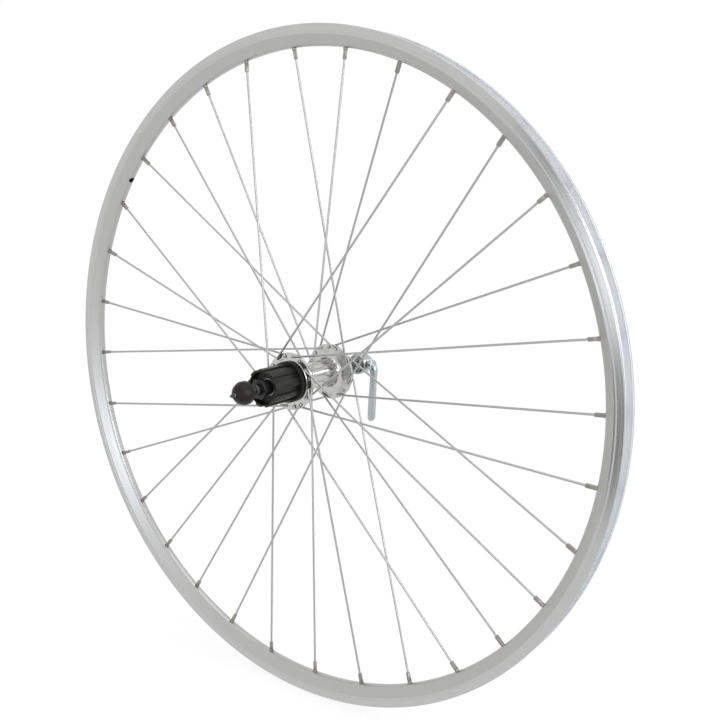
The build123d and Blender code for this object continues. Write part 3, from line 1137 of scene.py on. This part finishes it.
@dataclass
class Freehub:
    """The black splined body that carries the sprockets."""

    root_radius: float = 16.1 * MM
    spline_depth: float = 1.4 * MM
    spline_count: int = 9
    facets: int = 180
    tooth_start: float = 2.0
    tooth_stop: float = 24.4
    start: float = -59.5 * MM
    stop: float = -23.2 * MM
    collar_radius: float = 19.2 * MM
    collar_width: float = 3.6 * MM
    collar_facets: int = 144
    notch_depth: float = 0.35 * MM
    notch_pitch: float = 7.5
    notch_width: float = 2.5
    mouth_radius: float = 15.1 * MM
    mouth_depth: float = 8 * MM
    bore_radius: float = 11 * MM
    bore_sides: int = 96
    drill_margin: float = 4 * MM
    ease: float = 0.22 * MM
    ease_angle: float = 35

    def is_tooth(self, face: bpy.types.MeshPolygon) -> bool:
        """Tells whether a face of the drum rises into a spline."""
        share = turn_share(face, 360 / self.spline_count)
        return abs(face.normal.y) < SIDE_FACE and self.tooth_start < share < self.tooth_stop

    def is_land(self, face: bpy.types.MeshPolygon) -> bool:
        """Tells whether a face of the collar stands between two notches."""
        return abs(face.normal.y) < SIDE_FACE and turn_share(face, self.notch_pitch) > self.notch_width

    def spline_tube(self) -> bpy.types.Object:
        """Raises the splines from a plain drum.

        Returns:
            The splined drum.
        """
        middle = Vector((0, (self.start + self.stop) / 2, 0))
        drum = peg(self.root_radius, self.stop - self.start, middle, ALONG, self.facets)
        raised(drum, self.is_tooth, 1 + self.spline_depth / self.root_radius)
        return drum

    def collar(self) -> bpy.types.Object:
        """Turns the wide ring beside the hub and notches its edge.

        Returns:
            The collar.
        """
        inner = self.stop - self.collar_width
        middle = Vector((0, (inner + self.stop) / 2, 0))
        root = self.collar_radius - self.notch_depth
        ring = peg(root, self.collar_width, middle, ALONG, self.collar_facets)
        raised(ring, self.is_land, self.collar_radius / root)
        return ring

    def build(self) -> None:
        """Makes the body and hollows it for the bearings and the lockring."""
        pieces = [self.spline_tube(), self.collar()]
        length = self.stop - self.start + self.drill_margin
        middle = Vector((0, (self.start + self.stop) / 2, 0))
        for piece in pieces:
            cut(piece, [peg(self.bore_radius, length, middle, ALONG, self.bore_sides)])
        mouth = Vector((0, self.start, 0))
        cut(pieces[0], [peg(self.mouth_radius, 2 * self.mouth_depth, mouth, ALONG, self.bore_sides)])
        for piece in pieces:
            eased(piece, self.ease, angle=self.ease_angle)
        body = joined("freehub_splines", pieces)
        smoothed(body)
        dressed(body, Part.FREEHUB, Finishes.BLACK, "freehub_body")


@dataclass
class AxleSet:
    """The axle with what stands still on it: locknuts, spacers and springs."""

    radius: float = 5 * MM
    core_radius: float = 4.85 * MM
    bore_radius: float = 2.9 * MM
    end_round: float = 0.3 * MM
    round_steps: int = 2
    steps: int = 48
    half_dropout: float = 65 * MM
    stub: float = 5.5 * MM
    nut_sides: int = 6
    nut_flats: float = 17 * MM
    nut_thickness: float = 5 * MM
    nut_bore_sides: int = 40
    edge_ease: float = 0.35 * MM
    fit_gap: float = 0.05 * MM
    spacer_radius: float = 7.3 * MM
    drive_spacer: tuple[float, float] = (-60 * MM, -51.5 * MM)
    left_spacer: tuple[float, float] = (56.5 * MM, 60 * MM)
    spring_small: float = 3.6 * MM
    spring_large: float = 7.49 * MM
    spring_wire: float = 0.4 * MM
    spring_wire_steps: int = 3
    spring_turns: int = 3
    spring_turn_steps: int = 24
    spring_smooth_angle: float = 60
    spring_start: float = 70.9 * MM
    spring_stop: float = 79.1 * MM
    seat_recess: float = 1.6 * MM

    def axle(self) -> None:
        """Turns the hollow axle with its plain ends."""
        end = self.half_dropout + self.stub
        corners = [
            (self.bore_radius, -end),
            (self.radius, -end),
            (self.radius, -self.half_dropout),
            (self.core_radius, -self.half_dropout),
            (self.core_radius, self.half_dropout),
            (self.radius, self.half_dropout),
            (self.radius, end),
            (self.bore_radius, end),
        ]
        piece = turned("axle_tube", rounded(corners, self.end_round, self.round_steps), self.steps)
        smoothed(piece)
        dressed(piece, Part.AXLE_SET, Finishes.DARK, "axle")

    def locknuts(self) -> None:
        """Makes the two hexagon locknuts."""
        half_side = math.pi / self.nut_sides
        corner = self.nut_flats / 2 / math.cos(half_side)
        length = DRILL_THROUGH * self.nut_thickness
        nuts = []
        for side in (-1, 1):
            middle = Vector((0, side * (self.half_dropout - self.nut_thickness / 2), 0))
            nut = peg(corner, self.nut_thickness, middle, ALONG, self.nut_sides)
            nut.data.transform(Matrix.Rotation(half_side, 4, "Y"))
            cut(nut, [peg(self.radius + self.fit_gap, length, middle, ALONG, self.nut_bore_sides)])
            eased(nut, self.edge_ease)
            nuts.append(nut)
        piece = joined("locknut_pair", nuts)
        smoothed(piece)
        dressed(piece, Part.AXLE_SET, Finishes.OXIDE, "locknuts")

    def end_spacers(self) -> None:
        """Turns the end spacers behind the locknuts."""
        inner, outer = self.radius + self.fit_gap, self.spacer_radius
        for name, span in (("end_spacer_drive", self.drive_spacer), ("end_spacer_left", self.left_spacer)):
            start, stop = span
            corners = [(inner, start), (outer, start), (outer, stop), (inner, stop)]
            section = rounded(corners, self.edge_ease, self.round_steps)
            piece = turned(name + "_sleeve", section, self.steps)
            smoothed(piece)
            dressed(piece, Part.AXLE_SET, Finishes.OXIDE, name)

    def spring(self, name: str, side: int, stop: float, far: Part | None = None) -> None:
        """Winds one cone spring, narrow end on the axle.

        Args:
            name: The solid that it stands for.
            side: 1 toward +Y, -1 toward the drive side.
            stop: Distance of its wide end from the middle of the wheel.
            far: The body that its wide end meets, if it isn't the axle.
        """
        curve = bpy.data.curves.new(name + "_coil", "CURVE")
        curve.dimensions = "3D"
        curve.bevel_depth = self.spring_wire
        curve.bevel_resolution = self.spring_wire_steps
        curve.use_fill_caps = True
        count = self.spring_turn_steps * self.spring_turns
        line = curve.splines.new("POLY")
        line.points.add(count)
        for number in range(count + 1):
            share = number / count
            radius = self.spring_small + (self.spring_large - self.spring_small) * share
            y = side * (self.spring_start + (stop - self.spring_start) * share)
            line.points[number].co = (*around(360 * self.spring_turns * share, radius, y), 1)
        coil = bpy.data.objects.new(name + "_coil", curve)
        bpy.context.collection.objects.link(coil)
        take(coil)
        bpy.ops.object.convert(target="MESH")
        piece = named(bpy.context.object, name + "_coil")
        smoothed(piece, self.spring_smooth_angle)
        stretch = Stretch(far, side * self.spring_start, side * stop) if far else None
        dressed(piece, Part.AXLE_SET, Finishes.DARK, name, stretch)

    def inner_spacers(self) -> None:
        """Gives the spacers between the inner rings, which keep their solids, a steel finish."""
        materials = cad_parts["axle_spacers"].data.materials
        materials.clear()
        materials.append(Finishes.STEEL.material())

    def build(self) -> None:
        """Makes everything that stands still on the axle."""
        self.axle()
        self.locknuts()
        self.end_spacers()
        self.spring("spring_drive", -1, self.spring_stop)
        self.spring("spring_left", 1, self.spring_stop + self.seat_recess, Part.HEAD)
        self.inner_spacers()


@dataclass
class Skewer:
    """The quick-release skewer: rod, bell nut, cam housing and lever."""

    steps: int = 72
    fit_gap: float = 0.05 * MM
    rod_radius: float = 2.5 * MM
    rod_steps: int = 32
    rod_neck: float = 95.6 * MM
    rod_point: float = 100.4 * MM
    rod_tip: float = 0.25 * MM
    eye_half: tuple[float, float, float] = (2.5 * MM, 4.15 * MM, 5.4 * MM)
    eye_wall: float = 1.4 * MM
    eye_ease: float = 0.3 * MM
    nut_face: float = -79.5 * MM
    nut_radius: float = 10.6 * MM
    nut_recess: tuple[float, float] = (8.3 * MM, 3.3 * MM)
    nut_rim: float = 5.5 * MM
    nut_waist: tuple[float, float] = (8.6 * MM, 9.8 * MM)
    nut_shoulder: tuple[float, float] = (5.2 * MM, 13.4 * MM)
    nut_tip: tuple[float, float] = (3.1 * MM, 15.6 * MM)
    nut_round: float = 1.8 * MM
    nut_round_steps: int = 5
    nut_smooth_angle: float = 50
    head_face: float = 79.5 * MM
    head_length: float = 17 * MM
    head_radius: float = 10.2 * MM
    head_round: float = 0.9 * MM
    head_round_steps: int = 4
    dome_radius: float = 8.3 * MM
    dome_height: float = 4.5 * MM
    face_recess: float = 1.6 * MM
    face_rim: float = 1.7 * MM
    passage: float = 2.8 * MM
    plug_overlap: float = 0.2 * MM
    plug_length: float = 1.5 * MM
    plug_depth: float = 1 * MM
    cam_y: float = 88 * MM
    cam_throw: float = 1.25 * MM
    cam_room: tuple[float, float, float] = (0.3 * MM, 1.6 * MM, 0.3 * MM)
    shaft_radius: float = 4 * MM
    shaft_sides: int = 32
    shaft_bore_middle: float = 0.65
    shaft_bore_margin: float = 2 * MM
    pin_radius: float = 2.4 * MM
    journal_share: float = 0.75
    boss_radius: float = 5.6 * MM
    boss_length: float = 5.2 * MM
    boss_ease: float = 1.4 * MM
    boss_ease_steps: int = 4
    fine_sides: int = 40
    lever_gap: float = 0.4 * MM
    lever_smooth_angle: float = 40
    arm_offset: float = 16 * MM
    arm_half_width: float = 4.25 * MM
    arm_half_thickness: float = 2.15 * MM
    arm_root: float = 0.8
    arm_root_width: float = 0.88
    arm_straight: float = 0.2 * MM
    arm_drop: float = 57 * MM
    arm_lean: float = 3.0
    arm_corner: float = 2.2 * MM
    arm_corner_steps: int = 5
    arm_bend: float = 5.4 * MM
    arm_bend_steps: int = 10
    arm_widths: tuple[tuple[float, float], ...] = ((0.15, 1.0), (0.5, 1.0), (0.55, 1.13), (1.0, 1.0))
    arm_end_steps: int = 8
    arm_end_share: float = 0.97

    def rod_finish(self, face: bpy.types.MeshPolygon) -> Metal:
        """Tells whether a face of the rod is bare steel or part of the black point."""
        return Finishes.SEAL if face.center.y < -self.rod_neck else Finishes.STEEL

    def rod(self) -> None:
        """Turns the rod with its pointed end and adds the eye that the cam pulls."""
        half_x, half_y, half_z = self.eye_half
        centre = (0, self.cam_y + self.cam_throw, 0)
        top = self.cam_y + self.cam_throw - half_y
        outline = [
            (0, -self.rod_point),
            (self.rod_tip, -self.rod_point),
            (self.rod_radius, -self.rod_neck),
            (self.rod_radius, top),
            (0, top),
        ]
        bar = turned("skewer_bar", outline, self.rod_steps, False)
        eye = block("eye", self.eye_half, centre)
        cut(eye, [block("slot", (2 * half_x, half_y - self.eye_wall, half_z - self.eye_wall), centre)])
        eased(eye, self.eye_ease)
        piece = joined("skewer_bar", [bar, eye])
        smoothed(piece)
        painted(piece, (Finishes.STEEL, Finishes.SEAL), self.rod_finish)
        dressed(piece, Part.ROD, Finishes.STEEL, "skewer_rod")

    def nut(self) -> None:
        """Turns the bell-shaped nut, hollowed so that the spring's wide end has room in it."""
        bore = self.rod_radius + self.fit_gap
        hollow, depth = self.nut_recess
        steps = [
            (bore, depth),
            (hollow, depth),
            (hollow, 0),
            (self.nut_radius, 0),
            (self.nut_radius, self.nut_rim),
            self.nut_waist,
            self.nut_shoulder,
            self.nut_tip,
            (bore, self.nut_tip[1]),
        ]
        corners = [(radius, self.nut_face - y) for radius, y in steps]
        piece = turned("skewer_bell", rounded(corners, self.nut_round, self.nut_round_steps), self.steps)
        smoothed(piece, self.nut_smooth_angle)
        dressed(piece, Part.NUT, Finishes.NUT, "skewer_nut")

    def head(self) -> None:
        """Turns the cam housing and bores it for the rod and the cam shaft."""
        end = self.head_face + self.head_length
        inner = self.head_radius - self.face_rim
        cup = rounded(
            [
                (self.passage, self.head_face + self.face_recess),
                (inner, self.head_face + self.face_recess),
                (inner, self.head_face),
                (self.head_radius, self.head_face),
                (self.head_radius, end - self.dome_height),
                (self.dome_radius, end),
                (self.passage, end),
            ],
            self.head_round, self.head_round_steps,
        )
        shell = turned("cam_cup", cup, self.steps)
        middle = Vector((0, end - self.plug_depth, 0))
        plug = peg(self.passage + self.plug_overlap, self.plug_length, middle, ALONG, self.shaft_sides)
        room = [half + gap for half, gap in zip(self.eye_half, self.cam_room)]
        cut(shell, [block("cavity", room, (0, self.cam_y, 0))])
        middle = Vector((self.shaft_bore_middle * self.head_radius, self.cam_y, 0))
        length = self.head_radius + self.shaft_bore_margin
        cut(shell, [peg(self.shaft_radius + self.fit_gap, length, middle, ACROSS, self.fine_sides)])
        piece = joined("cam_cup", [shell, plug])
        smoothed(piece)
        dressed(piece, Part.HEAD, Finishes.CAM, "skewer_head")

    def blade(self, begin: float) -> bpy.types.Object:
        """Bends the blade out of one bar: root, quarter bend and an arm with a rounded end.

        Args:
            begin: Where the bar stands clear of the cam housing.

        Returns:
            The blade.
        """
        foot = (begin, self.cam_y, 0)
        deselect()
        bpy.ops.mesh.primitive_plane_add(
            size=2 * self.arm_half_width, location=foot, rotation=(0, QUARTER_TURN, 0)
        )
        blade = named(bpy.context.object, "lever_blade")
        root = self.arm_root * self.shaft_radius
        bend_middle = (self.arm_offset - self.arm_bend, self.cam_y, -self.arm_bend)
        lean = Vector((0, -math.sin(math.radians(self.arm_lean)), -math.cos(math.radians(self.arm_lean))))
        reach = self.arm_drop - self.arm_half_width - self.arm_bend
        with editing(blade, "FACE"):
            narrow = (1, root / self.arm_half_width, self.arm_root_width)
            bpy.ops.transform.resize(value=narrow, center_override=foot)
            bpy.ops.mesh.bevel(offset=self.arm_corner, segments=self.arm_corner_steps, affect="VERTICES")
            bpy.ops.mesh.select_all(action="SELECT")
            extrude((self.arm_straight, 0, 0))
            bpy.ops.mesh.spin(
                steps=self.arm_bend_steps, angle=-QUARTER_TURN, center=bend_middle, axis=ALONG
            )
            place = Vector((self.arm_offset, self.cam_y, -self.arm_bend))
            thick = self.arm_half_thickness / root
            done = 0.0
            for share, wide in self.arm_widths:
                step = lean * reach * (share - done)
                extrude(step)
                place += step
                bpy.ops.transform.resize(value=(wide, thick, 1), center_override=place)
                thick = 1.0
                done = share
            before = 0.0
            for number in range(1, self.arm_end_steps + 1):
                angle = number / self.arm_end_steps * QUARTER_TURN * self.arm_end_share
                step = lean * self.arm_half_width * (math.sin(angle) - math.sin(before))
                extrude(step)
                place += step
                shrink = math.cos(angle) / math.cos(before)
                bpy.ops.transform.resize(value=(shrink, 1, 1), center_override=place)
                before = angle
            face_out()
        return blade

    def cam_shaft(self, begin: float) -> list[bpy.types.Object]:
        """Makes what the lever turns on: shaft, offset pin, far journal and boss.

        Args:
            begin: Where the lever stands clear of the cam housing.

        Returns:
            The four pieces.
        """
        depth = self.eye_half[0] + self.cam_room[0]
        root = begin + self.arm_straight
        middle = Vector(((root + depth) / 2, self.cam_y, 0))
        shaft = peg(self.shaft_radius, root - depth, middle, ACROSS, self.shaft_sides)
        pin = peg(self.pin_radius, 2 * depth, Vector((0, self.cam_y + self.cam_throw, 0)), ACROSS)
        journal = self.journal_share * self.head_radius - self.lever_gap
        middle = Vector((-(journal + depth) / 2, self.cam_y, 0))
        far = peg(self.pin_radius, journal - depth, middle, ACROSS)
        middle = Vector((begin + self.boss_length / 2, self.cam_y, 0))
        boss = peg(self.boss_radius, self.boss_length, middle, ACROSS, self.fine_sides)
        eased(boss, self.boss_ease, self.boss_ease_steps)
        return [shaft, pin, far, boss]

    def lever(self) -> None:
        """Makes the lever with its cam shaft."""
        begin = self.head_radius + self.lever_gap
        piece = joined("lever_blade", [self.blade(begin), *self.cam_shaft(begin)])
        smoothed(piece, self.lever_smooth_angle)
        dressed(piece, Part.LEVER, Finishes.LEVER, "skewer_lever")

    def build(self) -> None:
        """Makes the four pieces of the skewer."""
        self.rod()
        self.nut()
        self.head()
        self.lever()


@dataclass
class Lamp:
    """One soft lamp.

    Attributes:
        name: Name of the lamp.
        place: Where it hangs, in metres.
        aim: What it points at.
        size: Width and height of its panel.
        power: Light in watts.
        colour: Colour of the light.
    """

    name: str
    place: Place
    aim: Place
    size: tuple[float, float]
    power: float
    colour: Colour = (1.0, 1.0, 1.0)

    def hang(self) -> None:
        """Adds the lamp to the scene."""
        data = bpy.data.lights.new(self.name, "AREA")
        data.shape = "RECTANGLE"
        data.size, data.size_y = self.size
        data.energy = self.power
        data.color = self.colour
        lamp = bpy.data.objects.new(self.name, data)
        lamp.location = self.place
        lamp.rotation_euler = (Vector(self.aim) - Vector(self.place)).to_track_quat("-Z", "Y").to_euler()
        bpy.context.collection.objects.link(lamp)


@dataclass
class Card:
    """One dark card in front of the wheel, for the brake track to mirror.

    Attributes:
        name: Name of the card.
        place: Where it stands, in metres.
        size: Width and height.
        thickness: Thickness of the board.
        level: How light its grey is.
        roughness: Its roughness.
    """

    name: str
    place: Place
    size: tuple[float, float]
    thickness: float = 5 * MM
    level: float = 0.03
    roughness: float = 0.9

    def stand(self) -> None:
        """Adds the card to the scene, hidden from the camera."""
        deselect()
        bpy.ops.mesh.primitive_plane_add(size=1, location=self.place, rotation=(QUARTER_TURN, 0, 0))
        card = named(bpy.context.object, self.name)
        width, height = self.size
        with editing(card, "FACE"):
            bpy.ops.transform.resize(value=(width, 1, height), center_override=self.place)
            extrude((0, -self.thickness, 0))
        card.data.materials.append(matte(self.name, self.level, self.roughness).owner)
        card.visible_camera = False


@dataclass
class Studio:
    """The pale floor, the soft light and the camera at the photograph's angle."""

    azimuth: float = 36.870
    elevation: float = 11.690
    roll: float = 1.049
    distance: float = 897.813 * MM
    shift_right: float = -51.853 * MM
    shift_up: float = -16.550 * MM
    focal_pixels: float = 950.632
    image_pixels: int = 720
    sensor: float = 36.0
    clip_start: float = 0.01
    floor_place: Place = (0, 2.25, -0.3195)
    floor_size: float = 3.0
    floor_sides: int = 96
    floor_level: float = 0.9
    floor_roughness: float = 0.8
    fade_reach: tuple[float, float] = (0.4, 1.1)
    fade_level: tuple[float, float] = (0.88, 1.0)
    room_level: float = 0.95
    cards: list[Card] = field(default_factory=lambda: [
        Card("card_low", (0.125, -0.5, -0.13), (0.12, 0.20)),
        Card("card_high", (-0.004, -0.5, 0.2), (0.09, 0.09)),
    ])
    lamps: list[Lamp] = field(default_factory=lambda: [
        Lamp("overhead", (0.2, 0.2, 1.7), (0, 0, 0), (1.6, 1.6), 8),
        Lamp("front_panel", (0.31, -2.1, 0.24), (-0.29, 0, -0.13), (0.6, 0.6), 4, (0.87, 0.93, 1.0)),
        Lamp("low_panel", (-0.47, -1.84, -0.10), (0.3, 0, 0.12), (0.18, 0.18), 0.36, (0.84, 0.91, 1.0)),
        Lamp("back_strip", (1.15, 1.48, 0.69), (0, 0, 0), (0.4, 0.05), 1.1),
        Lamp("high_panel", (1.38, -0.6, 0.84), (-0.27, 0, -0.13), (0.5, 0.5), 4.5, (0.88, 0.93, 1.0)),
        Lamp("side_panel", (1.95, -0.1, 0.45), (-0.28, 0, -0.1), (1.7, 0.45), 12, (0.88, 0.93, 1.0)),
    ])

    def camera(self) -> None:
        """Sets the camera."""
        azimuth, elevation, roll = (math.radians(a) for a in (self.azimuth, self.elevation, self.roll))
        flat = math.cos(elevation)
        back = Vector((math.sin(azimuth) * flat, -math.cos(azimuth) * flat, math.sin(elevation)))
        level = (-back).cross(UP).normalized()
        rise = level.cross(-back)
        right = math.cos(roll) * level + math.sin(roll) * rise
        up = -math.sin(roll) * level + math.cos(roll) * rise
        data = bpy.data.cameras.new("camera")
        data.sensor_width = self.sensor
        data.lens = self.focal_pixels / self.image_pixels * self.sensor
        data.clip_start = self.clip_start
        camera = bpy.data.objects.new("camera", data)
        turn = Matrix((right, up, back)).transposed().to_4x4()
        place = back * self.distance - right * self.shift_right - up * self.shift_up
        camera.matrix_world = Matrix.Translation(place) @ turn
        bpy.context.collection.objects.link(camera)
        bpy.context.scene.camera = camera

    def floor(self) -> None:
        """Lays a plain pale floor that fades into the background."""
        deselect()
        bpy.ops.mesh.primitive_circle_add(
            vertices=self.floor_sides, radius=self.floor_size, fill_type="NGON", location=self.floor_place
        )
        floor = named(bpy.context.object, "floor")
        bench = matte("floor_white", self.floor_level, self.floor_roughness)
        near, far = self.fade_reach
        dim, full = self.fade_level
        place = bench.node("ShaderNodeTexCoord").outputs["Object"]
        reach = bench.node("ShaderNodeVectorMath", operation="LENGTH")
        bench.link(place, reach.inputs[0])
        fade = bench.node("ShaderNodeMapRange", From_Min=near, From_Max=far, To_Min=dim, To_Max=full)
        bench.link(reach.outputs["Value"], fade.inputs["Value"])
        glow = bench.node("ShaderNodeEmission", Strength=1.0)
        mix = bench.node("ShaderNodeMixShader")
        bench.link(bench.maths("MULTIPLY", bench.sight(0.0), fade.outputs[0]), mix.inputs[0])
        bench.link(bench.found("BSDF_PRINCIPLED").outputs[0], mix.inputs[1])
        bench.link(glow.outputs[0], mix.inputs[2])
        bench.link(mix.outputs[0], bench.found("OUTPUT_MATERIAL").inputs["Surface"])
        floor.data.materials.append(bench.owner)

    def world(self) -> None:
        """Lights the room evenly, and shows it white to the camera and in the metal."""
        bench = Bench(bpy.data.worlds.new("studio"))
        back = bench.found("BACKGROUND")
        back.inputs["Color"].default_value = (1, 1, 1, 1)
        bench.link(bench.sight(self.room_level), back.inputs["Strength"])
        bpy.context.scene.world = bench.owner

    def build(self) -> None:
        """Sets up the camera, floor, world, cards and lamps."""
        self.camera()
        self.floor()
        self.world()
        for card in self.cards:
            card.stand()
        for lamp in self.lamps:
            lamp.hang()
        bpy.context.scene.view_settings.view_transform = "Standard"


def main() -> None:
    """Builds the wheel's pieces and the studio."""
    logging.basicConfig(level=logging.INFO, format="%(name)s %(message)s")
    lacing = Lacing()
    Rim(lacing).build()
    Spokes(lacing).build()
    Hub(lacing).build()
    Freehub().build()
    AxleSet().build()
    Skewer().build()
    Studio().build()
    deselect()


if __name__ == "__main__":
    main()
